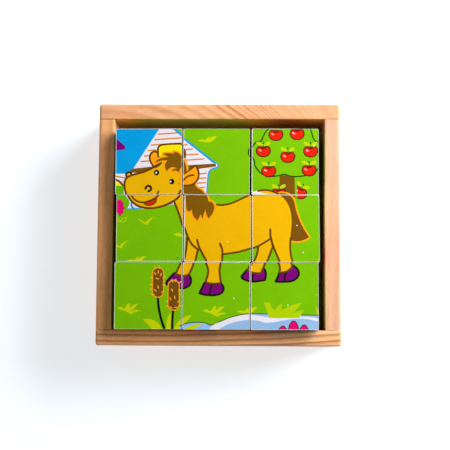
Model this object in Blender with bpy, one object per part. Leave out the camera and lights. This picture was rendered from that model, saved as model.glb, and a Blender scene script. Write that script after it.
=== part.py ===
"""Nine-cube picture puzzle in an open wooden tray.

Nine wooden cubes, each covered in glued paper pictures, stand three by three in a tray of
four butt-jointed rails. A thin plywood panel is held in a groove inside the rails, and steel
brads through the front and back rails hold the corners.

Metres, +Z up. The origin is on the table under the middle of the tray, +X runs to the
right and +Y to the back rail. The cubes stand pushed forward, so the gap that a finger
uses to get the first cube out is behind them.
"""

import math

import bmesh
import bpy
from mathutils import Matrix, Vector

MM = 0.001

# Driving sizes
TRAY_SIDE = 128.6 * MM
RAIL_THICKNESS = 8.3 * MM
RAIL_HEIGHT = 35 * MM
CUBE_CORE_SIDE = 33.6 * MM
PAPER_THICKNESS = 0.3 * MM
GLUE_GAP = 0.3 * MM
REST_GAP = 0.3 * MM

# Tray rails
INNER_HALF = TRAY_SIDE / 2 - RAIL_THICKNESS
JOINT_GAP = 0.25 * MM
CORNER_RADIUS = 1.4 * MM
OUTER_ARRIS = 1.2 * MM
INNER_ARRIS = 0.4 * MM
FOOT_ARRIS = 0.6 * MM
ARC_STEPS = 5

# Base panel and its groove
PANEL_THICKNESS = 3 * MM
PANEL_BOTTOM_Z = 2.5 * MM
PANEL_TOP_Z = PANEL_BOTTOM_Z + PANEL_THICKNESS
GROOVE_DEPTH = 3 * MM
PANEL_SIDE = 2 * (INNER_HALF + GROOVE_DEPTH - REST_GAP)
PANEL_CORNER = 1.5 * MM

# Brads, two at each corner
BRAD_RADIUS = 0.7 * MM
BRAD_HEAD_RADIUS = 1.2 * MM
BRAD_HEAD_DEPTH = 0.7 * MM
BRAD_LENGTH = 19 * MM
BRAD_POINT = 1.6 * MM
BRAD_SUNK = 0.35 * MM
BRAD_CLEARANCE = 0.3 * MM
BRAD_SIDES = 16
BRAD_X = TRAY_SIDE / 2 - RAIL_THICKNESS / 2
BRAD_HEIGHTS = (10.5 * MM, 27 * MM)

# Cubes
CORE_HALF = CUBE_CORE_SIDE / 2
CORE_ARRIS = 0.9 * MM
PAPER_INNER = CORE_HALF + GLUE_GAP
PAPER_OUTER = PAPER_INNER + PAPER_THICKNESS
PAPER_CORNER = 1.0 * MM
PAPER_CORNER_STEPS = 4
SLEEVE_TOP = PAPER_INNER - REST_GAP
CUBE_CENTRE_Z = PANEL_TOP_Z + REST_GAP + PAPER_OUTER

# Where each cube stands: name, x, y and a slight turn in degrees, as loose cubes sit
ROW_GAP = 0.35 * MM
ROW_PITCH = 2 * PAPER_OUTER + ROW_GAP
FRONT_Y = -INNER_HALF + REST_GAP + PAPER_OUTER
MIDDLE_Y = FRONT_Y + ROW_PITCH
BACK_Y = MIDDLE_Y + ROW_PITCH
CUBES = (
    ("back_left", -36.85 * MM, BACK_Y, -0.05),
    ("back_middle", -1.25 * MM, BACK_Y, 0.2),
    ("back_right", 34.85 * MM, BACK_Y, -0.55),
    ("middle_left", -35.95 * MM, MIDDLE_Y, -0.05),
    ("middle_middle", -0.4 * MM, MIDDLE_Y, -0.3),
    ("middle_right", 35.15 * MM, MIDDLE_Y, -0.05),
    ("front_left", -36.35 * MM, FRONT_Y, -0.1),
    ("front_middle", -0.9 * MM, FRONT_Y, -0.15),
    ("front_right", 34.55 * MM, FRONT_Y, -0.2),
)

# Colours, linear
PINE = (0.80, 0.47, 0.24, 1)
PLYWOOD = (0.52, 0.31, 0.15, 1)
CUBE_WOOD = (0.78, 0.58, 0.37, 1)
STEEL = (0.46, 0.46, 0.47, 1)
PRINTED_GREEN = (0.18, 0.48, 0.01, 1)


def clear_scene():
    for obj in list(bpy.data.objects):
        bpy.data.objects.remove(obj)


def material(name, colour, roughness, metallic=0.0):
    made = bpy.data.materials.new(name)
    made.use_nodes = True
    shader = made.node_tree.nodes["Principled BSDF"]
    shader.inputs["Base Color"].default_value = colour
    shader.inputs["Roughness"].default_value = roughness
    shader.inputs["Metallic"].default_value = metallic
    return made


def mesh_from(bm, name):
    """Turns a bmesh into a mesh whose faces point outwards."""
    bmesh.ops.recalc_face_normals(bm, faces=bm.faces)
    mesh = bpy.data.meshes.new(name)
    bm.to_mesh(mesh)
    bm.free()
    return mesh


def add_object(name, mesh, finish=None):
    obj = bpy.data.objects.new(name, mesh)
    bpy.context.scene.collection.objects.link(obj)
    if finish is not None:
        obj.data.materials.clear()
        obj.data.materials.append(finish)
    return obj


def smooth(obj, degrees=35):
    obj.data.shade_smooth()
    obj.data.set_sharp_from_angle(angle=math.radians(degrees))


def box_mesh(low, high, name):
    low = Vector(low)
    high = Vector(high)
    bm = bmesh.new()
    bmesh.ops.create_cube(bm, size=1)
    bmesh.ops.scale(bm, vec=high - low, verts=bm.verts)
    bmesh.ops.translate(bm, vec=(low + high) / 2, verts=bm.verts)
    return mesh_from(bm, name)


def cutter(name, mesh):
    obj = add_object(name, mesh)
    obj.hide_render = True
    obj.display_type = "WIRE"
    return obj


def boolean(obj, tool, operation):
    step = obj.modifiers.new(tool.name, "BOOLEAN")
    step.operation = operation
    step.solver = "EXACT"
    step.object = tool


def arc(centre_u, centre_z, radius, start, end, steps=ARC_STEPS):
    """Points of an arc in a rail's section, angles in degrees from +u towards +z."""
    points = []
    for step in range(steps + 1):
        angle = math.radians(start + (end - start) * step / steps)
        points.append((centre_u + radius * math.cos(angle), centre_z + radius * math.sin(angle)))
    return points


def rail_section():
    """The closed section of a rail: u is the distance in from the outer face, z the height."""
    top = RAIL_HEIGHT
    deep = RAIL_THICKNESS
    groove_low = PANEL_BOTTOM_Z - REST_GAP
    groove_high = PANEL_TOP_Z + REST_GAP
    section = []
    section += arc(FOOT_ARRIS, FOOT_ARRIS, FOOT_ARRIS, 270, 180)
    section += arc(OUTER_ARRIS, top - OUTER_ARRIS, OUTER_ARRIS, 180, 90)
    section += arc(deep - INNER_ARRIS, top - INNER_ARRIS, INNER_ARRIS, 90, 0)
    section += [(deep, groove_high), (deep - GROOVE_DEPTH, groove_high)]
    section += [(deep - GROOVE_DEPTH, groove_low), (deep, groove_low)]
    section += arc(deep - INNER_ARRIS, INNER_ARRIS, INNER_ARRIS, 0, -90, 2)
    return section


def corner_points(inset):
    """One ring of plan points at this distance in from the outer faces, with round corners."""
    half = TRAY_SIDE / 2 - inset
    radius = max(CORNER_RADIUS - inset, 0)
    points = []
    for quarter in range(4):
        for step in range(ARC_STEPS + 1):
            angle = math.radians(90 * (quarter + step / ARC_STEPS))
            centre_x = math.copysign(half - radius, math.cos(math.radians(90 * quarter + 45)))
            centre_y = math.copysign(half - radius, math.sin(math.radians(90 * quarter + 45)))
            points.append((centre_x + radius * math.cos(angle), centre_y + radius * math.sin(angle)))
    return points


def tray_ring_mesh():
    """The section carried once round the tray, before it is parted into four rails."""
    bm = bmesh.new()
    rings = []
    for inset, height in rail_section():
        rings.append([bm.verts.new((x, y, height)) for x, y in corner_points(inset)])
    count = len(rings[0])
    for here, beyond in zip(rings, rings[1:] + rings[:1]):
        for index in range(count):
            after = (index + 1) % count
            bm.faces.new((here[index], here[after], beyond[after], beyond[index]))
    bmesh.ops.remove_doubles(bm, verts=bm.verts, dist=0.001 * MM)
    return mesh_from(bm, "tray_ring")


def rail_regions():
    """The block of space that each rail keeps out of the ring."""
    reach = TRAY_SIDE
    butt = INNER_HALF - JOINT_GAP
    return {
        "rail_back": ((-reach, INNER_HALF, -reach), (reach, reach, reach)),
        "rail_front": ((-reach, -reach, -reach), (reach, -INNER_HALF, reach)),
        "rail_left": ((-reach, -butt, -reach), (0, butt, reach)),
        "rail_right": ((0, -butt, -reach), (reach, butt, reach)),
    }


def turned_mesh(profile, name):
    """A round solid about Z from (radius, height) points that start and end on the axis."""
    bm = bmesh.new()
    low = bm.verts.new((0, 0, profile[0][1]))
    high = bm.verts.new((0, 0, profile[-1][1]))
    rings = []
    for radius, height in profile[1:-1]:
        ring = []
        for side in range(BRAD_SIDES):
            angle = 2 * math.pi * side / BRAD_SIDES
            ring.append(bm.verts.new((radius * math.cos(angle), radius * math.sin(angle), height)))
        rings.append(ring)
    for side in range(BRAD_SIDES):
        after = (side + 1) % BRAD_SIDES
        bm.faces.new((low, rings[0][after], rings[0][side]))
        for here, beyond in zip(rings, rings[1:]):
            bm.faces.new((here[side], here[after], beyond[after], beyond[side]))
        bm.faces.new((high, rings[-1][side], rings[-1][after]))
    return mesh_from(bm, name)


def brad_profile():
    """A brad along +Z, point up, with its head's face at the origin."""
    shank_end = BRAD_LENGTH - BRAD_POINT
    return (
        (0, 0),
        (BRAD_HEAD_RADIUS * 0.85, 0),
        (BRAD_HEAD_RADIUS, BRAD_HEAD_DEPTH * 0.3),
        (BRAD_HEAD_RADIUS, BRAD_HEAD_DEPTH * 0.7),
        (BRAD_RADIUS, BRAD_HEAD_DEPTH),
        (BRAD_RADIUS, shank_end),
        (BRAD_RADIUS * 0.15, BRAD_LENGTH),
        (0, BRAD_LENGTH),
    )


def brad_hole_profile():
    """The hole for a brad: a pocket for the head that breaks out of the face, then a bore."""
    pocket = BRAD_HEAD_RADIUS + BRAD_CLEARANCE
    bore = BRAD_RADIUS + BRAD_CLEARANCE
    pocket_end = BRAD_HEAD_DEPTH + BRAD_CLEARANCE
    bore_end = BRAD_LENGTH + BRAD_CLEARANCE
    outside = -2 * BRAD_SUNK - 1 * MM
    return (
        (0, outside),
        (pocket, outside),
        (pocket, pocket_end),
        (bore, pocket_end),
        (bore, bore_end),
        (0, bore_end),
    )


def brad_places():
    """Each brad's matrix: its head just under the outer face, its point towards the middle."""
    face = TRAY_SIDE / 2 - BRAD_SUNK
    places = {}
    for side_y, rail in ((-1, "front"), (1, "back")):
        turn = Matrix.Rotation(math.radians(90 * side_y), 4, "X")
        for side_x, end in ((-1, "left"), (1, "right")):
            for height, level in zip(BRAD_HEIGHTS, ("low", "high")):
                spot = Matrix.Translation((side_x * BRAD_X, side_y * face, height))
                places[f"brad_{rail}_{end}_{level}"] = spot @ turn
    return places


def build_rails(finish):
    """Four rails parted from one ring, so that their eased edges meet at the butt joints."""
    hole = turned_mesh(brad_hole_profile(), "brad_hole")
    bm = bmesh.new()
    for place in brad_places().values():
        first = len(bm.verts)
        bm.from_mesh(hole)
        bm.verts.ensure_lookup_table()
        bmesh.ops.transform(bm, matrix=place, verts=bm.verts[first:])
    holes = cutter("brad_holes", mesh_from(bm, "brad_holes"))
    ring = tray_ring_mesh()
    for name, (low, high) in rail_regions().items():
        region = cutter(name + "_region", box_mesh(low, high, name + "_region"))
        rail = add_object(name, ring.copy(), finish)
        smooth(rail)
        boolean(rail, region, "INTERSECT")
        boolean(rail, holes, "DIFFERENCE")


def build_brads(finish):
    """Eight brads, two at each corner, driven through the front and back rails."""
    mesh = turned_mesh(brad_profile(), "brad")
    mesh.materials.append(finish)
    for name, place in brad_places().items():
        brad = add_object(name, mesh)
        brad.matrix_world = place
        smooth(brad, 25)


def rounded_square(half, radius, steps):
    """Plan points of a square with round corners, anticlockwise."""
    points = []
    for quarter in range(4):
        middle = math.radians(90 * quarter + 45)
        centre_x = math.copysign(half - radius, math.cos(middle))
        centre_y = math.copysign(half - radius, math.sin(middle))
        for step in range(steps + 1):
            angle = math.radians(90 * (quarter + step / steps))
            points.append((centre_x + radius * math.cos(angle), centre_y + radius * math.sin(angle)))
    return points


def plate_mesh(outline, low_z, high_z, name):
    """A flat plate between two heights with this outline."""
    bm = bmesh.new()
    base = bm.faces.new([bm.verts.new((x, y, low_z)) for x, y in outline])
    raised = bmesh.ops.extrude_face_region(bm, geom=[base])["geom"]
    top = [item for item in raised if isinstance(item, bmesh.types.BMVert)]
    bmesh.ops.translate(bm, vec=(0, 0, high_z - low_z), verts=top)
    return mesh_from(bm, name)


def build_panel(finish):
    outline = rounded_square(PANEL_SIDE / 2, PANEL_CORNER, 3)
    mesh = plate_mesh(outline, PANEL_BOTTOM_Z, PANEL_TOP_Z, "base_panel")
    add_object("base_panel", mesh, finish)


def core_mesh():
    """A wooden cube with eased edges, centred on its own middle."""
    mesh = box_mesh([-CORE_HALF] * 3, [CORE_HALF] * 3, "cube_core")
    bm = bmesh.new()
    bm.from_mesh(mesh)
    bpy.data.meshes.remove(mesh)
    bmesh.ops.bevel(bm, geom=bm.edges[:], offset=CORE_ARRIS, segments=3, profile=0.5, affect="EDGES")
    return mesh_from(bm, "cube_core")


def top_picture_mesh():
    """The paper on the top face, which covers the ends of the papers on the sides."""
    outline = rounded_square(PAPER_OUTER, PAPER_CORNER, PAPER_CORNER_STEPS)
    return plate_mesh(outline, PAPER_INNER, PAPER_OUTER, "top_picture")


def side_pictures_mesh():
    """The papers on the four sides and under the cube, joined edge to edge and open above."""
    outer = rounded_square(PAPER_OUTER, PAPER_CORNER, PAPER_CORNER_STEPS)
    inner = rounded_square(PAPER_INNER, PAPER_CORNER - PAPER_THICKNESS, PAPER_CORNER_STEPS)
    levels = (
        (outer, -PAPER_OUTER),
        (outer, SLEEVE_TOP),
        (inner, SLEEVE_TOP),
        (inner, -PAPER_INNER),
    )
    bm = bmesh.new()
    rings = [[bm.verts.new((x, y, height)) for x, y in outline] for outline, height in levels]
    count = len(outer)
    for here, beyond in zip(rings, rings[1:]):
        for index in range(count):
            after = (index + 1) % count
            bm.faces.new((here[index], here[after], beyond[after], beyond[index]))
    bm.faces.new(rings[0])
    bm.faces.new(rings[-1])
    return mesh_from(bm, "side_pictures")


def build_cubes(wood, paper):
    """Nine cubes; each hangs on an empty at its middle, on the line that it lifts along."""
    core = core_mesh()
    core.materials.append(wood)
    top = top_picture_mesh()
    top.materials.append(paper)
    sides = side_pictures_mesh()
    sides.materials.append(paper)
    for place, x, y, turn in CUBES:
        holder = add_object("place_" + place, None)
        holder.location = (x, y, CUBE_CENTRE_Z)
        holder.rotation_euler.z = math.radians(turn)
        for name, mesh in (("cube_", core), ("top_picture_", top), ("side_pictures_", sides)):
            piece = add_object(name + place, mesh)
            piece.parent = holder
            smooth(piece)


def main():
    clear_scene()
    build_rails(material("pine", PINE, 0.55))
    build_panel(material("plywood", PLYWOOD, 0.65))
    build_brads(material("steel", STEEL, 0.35, 1.0))
    build_cubes(
        material("cube_wood", CUBE_WOOD, 0.6),
        material("printed_paper", PRINTED_GREEN, 0.3),
    )


main()
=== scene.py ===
"""Looks of the nine-cube picture puzzle: a pine tray and nine cubes covered in printed papers.

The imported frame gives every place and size. The printed papers are real sheets: each picture is a
list of coloured outlines, and each sheet's face is cut along those outlines into inked regions.
"""
import math

import bmesh
import bpy
import numpy as np
from mathutils import Matrix, Vector, noise
from mathutils.geometry import delaunay_2d_cdt


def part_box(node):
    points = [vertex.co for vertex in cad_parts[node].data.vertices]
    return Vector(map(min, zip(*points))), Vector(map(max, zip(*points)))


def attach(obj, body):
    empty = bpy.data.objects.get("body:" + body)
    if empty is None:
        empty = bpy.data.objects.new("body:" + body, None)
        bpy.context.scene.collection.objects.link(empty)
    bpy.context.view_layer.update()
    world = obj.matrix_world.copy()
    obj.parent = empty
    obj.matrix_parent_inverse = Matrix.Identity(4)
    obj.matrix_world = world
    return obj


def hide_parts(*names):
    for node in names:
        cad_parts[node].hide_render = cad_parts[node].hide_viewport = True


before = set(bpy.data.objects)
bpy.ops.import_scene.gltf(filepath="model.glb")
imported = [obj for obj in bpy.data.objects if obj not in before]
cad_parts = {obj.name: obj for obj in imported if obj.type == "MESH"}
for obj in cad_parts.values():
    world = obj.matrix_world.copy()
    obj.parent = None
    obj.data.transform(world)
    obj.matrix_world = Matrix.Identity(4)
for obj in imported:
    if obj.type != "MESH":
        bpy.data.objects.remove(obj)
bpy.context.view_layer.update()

MM = 0.001

PLACES = [f"{row}_{column}" for row in ("back", "middle", "front") for column in ("left", "middle", "right")]


# ---------------------------------------------------------------- colours

def linear(red, green, blue):
    """A linear colour from 0 to 255 display values."""
    made = []
    for value in (red, green, blue):
        value /= 255
        made.append(value / 12.92 if value <= 0.04045 else ((value + 0.055) / 1.055) ** 2.4)
    return (*made, 1.0)


GRASS = linear(120, 190, 0)
BUSH = linear(104, 184, 0)
LIME = linear(198, 214, 0)
SHORE_LIME = linear(178, 207, 0)
SKY = linear(0, 160, 230)
TRIM = linear(14, 156, 226)
WALL = linear(235, 231, 241)
STRIPE = linear(218, 134, 10)
EAVE = linear(128, 82, 8)
OUTLINE = linear(104, 58, 4)
COAT = linear(236, 180, 0)
AMBER = linear(255, 164, 8)
MANE = linear(128, 86, 4)
YELLOW = linear(252, 230, 0)
INK = linear(20, 12, 14)
WHITE = linear(244, 242, 240)
RED = linear(228, 32, 6)
DARK_RED = linear(120, 10, 10)
LEAF = linear(190, 207, 8)
FOREST = linear(24, 70, 16)
TRUNK = linear(121, 79, 8)
PURPLE = linear(124, 0, 119)
MAGENTA = linear(230, 0, 116)
POND = linear(148, 188, 228)
POND_LIGHT = linear(150, 192, 250)
BANK = linear(236, 231, 241)
REED = linear(118, 76, 14)
PAPER_EDGE = linear(232, 229, 226)


# ---------------------------------------------------------------- outlines
# A picture is 105 units square, three cells of 35, x to the right and y down.

CELL = 35.0
BLEED = 3                                # how far a picture's ground goes beyond its edges
LINE_WEIGHT = 1.15
PEN, FINE_PEN, STRIPE_PEN = 0.95, 0.85, 0.66
GOLDEN_ANGLE = 2.39996


def curve(points, closed=True, steps=5):
    """A smooth line through points. A point with a third number is a sharp corner."""
    places = np.array([point[:2] for point in points], float)
    sharp = [len(point) > 2 for point in points]
    count = len(places)
    made = []
    for index in range(count if closed else count - 1):
        start, end = places[index], places[(index + 1) % count]
        chord = end - start
        length = np.linalg.norm(chord)
        slopes = []
        for at in (index, (index + 1) % count):
            open_end = not closed and at in (0, count - 1)
            if sharp[at] or open_end:
                slopes.append(chord)
            else:
                across = places[(at + 1) % count] - places[at - 1]
                slopes.append(across * length / max(np.linalg.norm(across), 1e-6))
        straight = (sharp[index] or (not closed and index == 0)) and (
            sharp[(index + 1) % count] or (not closed and index == count - 2))
        for step in range(1 if straight else steps):
            t = step / steps
            made.append(
                (2 * t**3 - 3 * t**2 + 1) * start + (t**3 - 2 * t**2 + t) * slopes[0]
                + (3 * t**2 - 2 * t**3) * end + (t**3 - t**2) * slopes[1])
    if not closed:
        made.append(places[-1])
    return np.array(made)


def normals_of(line, closed):
    """The unit normal at each point of a line."""
    if closed:
        along = np.roll(line, -1, 0) - np.roll(line, 1, 0)
    else:
        along = np.gradient(line, axis=0)
    along /= np.maximum(np.linalg.norm(along, axis=1, keepdims=True), 1e-9)
    return np.stack([along[:, 1], -along[:, 0]], 1)


def ribbon(line, width, closed=False):
    """The outline of a stroke of this width along a line, with round ends."""
    side = normals_of(line, closed) * width / 2
    if closed:
        outer, inner = line + side, line - side
        return np.vstack([outer, outer[:1], inner[:1], inner[::-1]])
    caps = []
    for end, sign in ((-1, 1), (0, -1)):
        across = side[end] * sign
        along = np.array([-across[1], across[0]])
        for angle in np.radians([35, 72, 108, 145]):
            caps.append(line[end] + across * math.cos(angle) + along * math.sin(angle))
    return np.vstack([line + side, caps[:4], (line - side)[::-1], caps[4:]])


def moved(points, x, y, turn=0.0):
    """Points turned about their own origin and set down at x, y. Sharp corners stay sharp."""
    cosine, sine = math.cos(math.radians(turn)), math.sin(math.radians(turn))
    return [(x + u * cosine - v * sine, y + u * sine + v * cosine, *rest) for u, v, *rest in points]


class Picture:
    """Layers of ink, from the lowest to the highest: a colour and a closed outline each."""

    def __init__(self, ground=None):
        self.layers = []
        if ground:
            low, high = -BLEED, 3 * CELL + BLEED
            self.flat([(low, low), (high, low), (high, high), (low, high)], ground)

    def flat(self, points, colour):
        self.layers.append((colour, np.array([point[:2] for point in points], float)))

    def fill(self, points, colour, edge=None, width=0.9):
        outline = curve(points)
        self.layers.append((colour, outline))
        if edge:
            self.layers.append((edge, ribbon(outline, width * LINE_WEIGHT, closed=True)))

    def line(self, points, colour, width=0.9):
        self.layers.append((colour, ribbon(curve(points, closed=False), width * LINE_WEIGHT)))

    def oval(self, x, y, across, down, colour, turn=0.0, edge=None, width=0.6, points=18):
        angles = np.arange(points) * 2 * math.pi / points
        upright = [(across * math.cos(angle), down * math.sin(angle)) for angle in angles]
        outline = np.array(moved(upright, x, y, turn))
        self.layers.append((colour, outline))
        if edge:
            self.layers.append((edge, ribbon(outline, width * LINE_WEIGHT, closed=True)))

    def leaf(self, x, y, length, width, turn, colour):
        """A pointed leaf from its stalk at x, y."""
        half = width / 2
        shape = [(0, 0, 0), (length * 0.35, -half), (length, 0, 0), (length * 0.4, half)]
        self.fill(moved(shape, x, y, turn), colour)


# ---------------------------------------------------------------- what the pictures share

TUFT = [
    (0, 0, 0), (2.2, -0.6), (3.9, 0.3), (5.6, -1.8), (7, -2.6, 0), (7, 0, 0), (8.8, -1.6), (11.5, -2.4, 0),
    (9.7, -0.2), (7.7, 1.5, 0), (10.2, 1.1), (12.9, 1.3, 0), (10, 2.1), (7.5, 3.3, 0), (4.9, 1.7), (2.4, 1)]
SMALL_TUFT = [
    (0, 0, 0), (1.6, -0.8), (4.3, -0.5, 0), (6.4, -2.9, 0), (5.9, -1.2, 0), (8.2, -2.4), (10.2, -2.5, 0),
    (8.4, -0.5), (6.6, 0.8, 0), (3.2, 0.5)]
BLADE_PAIR = [
    (0, 0, 0), (1.6, 0.2), (4.1, 1.9, 0), (5.9, 0.2), (9.2, -1.6, 0), (7.1, 0.4), (5.7, 2.2, 0),
    (5.8, 3, 0), (3.8, 2.5), (1.8, 1.2)]


def grass(picture, blades, places):
    """The same blades of grass at each place."""
    for x, y in places:
        picture.fill(moved(blades, x, y), LIME)


def apple(picture, x, y, turn=0.0):
    """A red apple with a shine, a stalk and two leaves."""
    body = [
        (0, -2.2), (1.9, -2.8), (3.4, -1.6), (3.5, 0.5), (2.2, 2.25), (0, 2.8), (-2.2, 2.25), (-3.6, 0.5),
        (-3.4, -1.6), (-1.9, -2.8)]
    dip = [(-1.5, -2.2), (-0.8, -1.75), (0, -1.55), (0.8, -1.75), (1.5, -2.2)]
    picture.fill(moved(body, x, y, turn), RED, linear(62, 12, 12), 0.5)
    picture.line(moved(dip, x, y, turn), DARK_RED, 0.4)
    picture.line(moved([(0, -1.6), (0.1, -3)], x, y, turn), DARK_RED, 0.45)
    shine, *leaves = moved([(-1.8, -0.6), (-2.1, -4.1), (2.1, -4.1)], x, y, turn)
    picture.oval(*shine, 0.85, 0.32, linear(255, 200, 190), 28 + turn, points=12)
    for side, leaf in zip((-1, 1), leaves):
        picture.oval(*leaf, 1.8, 0.95, LEAF, turn - 28 * side, points=14)
    picture.line(moved([(-0.1, -4.9), (0.1, -4.3)], x, y, turn), FOREST, 0.55)


REED_HALF, REED_RIM, HAIR_HALF = 3.2, 0.55, 0.62


def reed_head(picture, x, top, bottom, seeds):
    """A bulrush: a brown head with an orange rim, and short orange hairs in it and round it."""
    angles = np.radians(np.arange(0, 181, 20))
    for half, colour in ((REED_HALF, AMBER), (REED_HALF - REED_RIM, REED)):
        head = [(x + half * math.cos(a), bottom - REED_HALF + half * math.sin(a)) for a in angles]
        head += [(x - half * math.cos(a), top + REED_HALF - half * math.sin(a)) for a in angles]
        picture.flat(head, colour)
    for u, v, turn in seeds:
        picture.line(moved([(-HAIR_HALF, 0), (HAIR_HALF, 0)], x + u, top + v, turn), linear(250, 176, 50),
                     0.5)


def cloud(picture, x, y, size):
    for u, v, radius in ((-5, 0.6, 3), (-1.5, -1.4, 4), (3, -0.4, 3.6), (6.2, 1, 2.4), (0.5, 1.3, 4)):
        picture.oval(x + u * size, y + v * size, radius * size, radius * 0.8 * size, WHITE)


def flower(picture, x, y, size, petals, colour, heart):
    """A daisy of round petals about a heart."""
    for step in range(petals):
        turn = 360 / petals * step
        (middle, ) = moved([(size * 0.62, 0)], x, y, turn)
        picture.oval(*middle, size * 0.42, size * 0.24, colour, turn, OUTLINE, 0.45)
    picture.oval(x, y, size * 0.32, size * 0.32, heart, 0, OUTLINE, 0.45)


# ---------------------------------------------------------------- the picture on top: a pony in a meadow

def stripes(picture, *ends):
    for start, end in ends:
        picture.line([start, end], STRIPE, STRIPE_PEN)


def house_behind(picture):
    """The striped gable and wall behind the pony, with its blue trim. The print on the back middle cube
    was glued lower than the one beside it, so the trim takes a step where the two cubes meet."""
    picture.flat([(0, -2), (24.4, -2), (9.8, 20.9), (5.6, 24), (0, 24)], SKY)
    picture.flat([
        (24.2, -2), (27.4, -2), (35, 4.4), (35, 30), (40, 36), (30, 40), (14, 42.4), (-2, 42.6), (-2, 24),
        (7.2, 24), (9.6, 20.9)], WALL)
    for step in range(6):
        height = 2.9 + 2.92 * step
        left = 24.2 - 0.62 * height
        right = min(28.9 + 1.18 * height, 34.6)
        stripes(picture, ((left, height), (right, height - 0.065 * (right - left))))
    picture.flat([(29.3, -2), (35, 2.9), (35, 4.4), (27.4, -2)], TRIM)
    picture.flat([
        (35, 5.8), (50.6, 18.2), (52.9, 18.6), (53.3, 19.9), (52.3, 20.7), (50.4, 21.3), (48.9, 22.6),
        (48.2, 25.4), (47.9, 29.4), (47.6, 36), (35, 36)], WALL)
    stripes(picture, ((36.6, 13.95), (42.8, 13.6)), ((36.5, 16.8), (45.8, 16.1)))
    picture.flat([(35, 4.5), (51.8, 17.5), (53, 18.6), (51.4, 18.6), (35, 5.8)], TRIM)
    for step in range(4):
        height = 23.9 + 2.45 * step
        stripes(picture, ((42.5, height + 0.3), (47.2 - step * 0.25, height - 0.1)))
    stripes(picture, ((-1, 25.2), (5.5, 26.3)), ((4, 28.2), (9, 28.9)))
    picture.flat([
        (8.2, 21.4), (20.5, 20.1), (30, 19.9), (50, 18.7), (52.3, 18.7), (52.6, 20.1), (43, 21.5),
        (20, 23.2), (7, 23.6)], EAVE)
    picture.flat([(52.3, 18.8), (53, 19.1), (52.9, 20), (52.3, 20.2)], WHITE)
    picture.line([
        (53.2, 18.9), (53.4, 19.9), (52.4, 20.8), (50.4, 21.3), (48.9, 22.6), (48.2, 25.4), (47.9, 29.4),
        (47.6, 35.4)], TRIM, 0.62)
    picture.line([(7.8, 39), (7.9, 41), (9.4, 42.4)], TRIM)
    picture.line([(4.6, 42.3), (9, 42.3), (13.6, 41.9)], TRIM, 0.5)
    picture.line([(28, 39.9), (29.4, 39.4)], TRIM, 0.6)


def garden(picture):
    """What stands at the left edge: a petal, a round hat, a bush and a flower."""
    picture.fill([(-1, 4, 0), (2.3, 7), (4.7, 9.2), (4.9, 10.7), (2.8, 11.3), (-1, 11.7, 0)], PURPLE)
    picture.fill([(-1, 27.6, 0), (2, 29.2), (3.4, 31.5), (-1, 32, 0)], YELLOW)
    picture.line([(-1, 27), (1.8, 28), (4.1, 30.4)], OUTLINE, 1)
    picture.fill([
        (-1, 30.4, 0), (4.3, 30.5, 0), (4.6, 35.2), (6.6, 38.2), (6.4, 40.8), (4.4, 42.9),
        (-1, 44, 0)], BUSH)
    picture.fill([
        (0.3, 38.5), (0.7, 37.6), (1.5, 37.9), (2.2, 37.5), (2.8, 38.6), (3.5, 39.4), (3.5, 40.9),
        (4.1, 42), (3.5, 43), (3.3, 44.4), (2.5, 45), (1.8, 46), (1, 44.7), (0.2, 43.9), (-0.1, 42.2),
        (0.2, 40.4)], MAGENTA, linear(190, 30, 70), 0.3)
    pale = linear(180, 214, 10)
    picture.fill([(2.2, 49.3, 0), (0.6, 49), (-0.6, 47, 0), (1, 47.5)], GRASS, pale, 0.42)
    picture.fill([(2.3, 49.3, 0), (3, 47.7), (5.4, 46.7, 0), (4.5, 48.7)], GRASS, pale, 0.42)


def pony_far_legs(picture):
    """The two legs on the far side, with their hooves."""
    picture.fill([
        (31.2, 75.8, 0), (28.8, 78.4), (27, 81.4), (29.6, 82.8), (35, 83.7), (38.6, 82), (39.4, 79.2),
        (38.2, 76.4, 0)], PURPLE, INK, PEN)
    picture.fill([
        (36.6, 56, 0), (36.3, 62), (35, 69), (31.9, 76.3, 0), (35, 77.3), (38.3, 76.4, 0), (40.4, 71.5),
        (42.3, 63.5, 0)], COAT, OUTLINE, PEN)
    picture.fill([
        (68.6, 73.9, 0), (66.9, 75.9), (65.7, 77.7), (67.4, 79.2), (71, 80), (77.4, 79.2, 0), (77.8, 76),
        (77, 73, 0)], PURPLE, INK, PEN)
    picture.line([(71.8, 75.5), (71, 77), (70.6, 79.7)], INK, 0.8)
    picture.fill([
        (73.2, 61.4, 0), (72.3, 66.3), (70.2, 71), (68.8, 74.3, 0), (71.9, 75.6), (75.2, 75.6, 0),
        (77.5, 70.3), (80.7, 62, 0), (79.4, 57.8, 0)], COAT, OUTLINE, PEN)


def pony_tail(picture):
    """The tail, dark with a bright outer edge."""
    tail = [
        (84.6, 34, 0), (88.9, 34.7), (91, 36.4), (92, 38.4), (92.7, 41.9), (93.8, 45.6), (96, 51),
        (99.7, 57.2, 0), (97, 58.5), (94, 59.2), (90.5, 58.9), (88, 58.9, 0), (84, 48)]
    picture.fill(tail, AMBER, AMBER, 1.4)
    picture.fill(tail, TRUNK)


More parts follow.
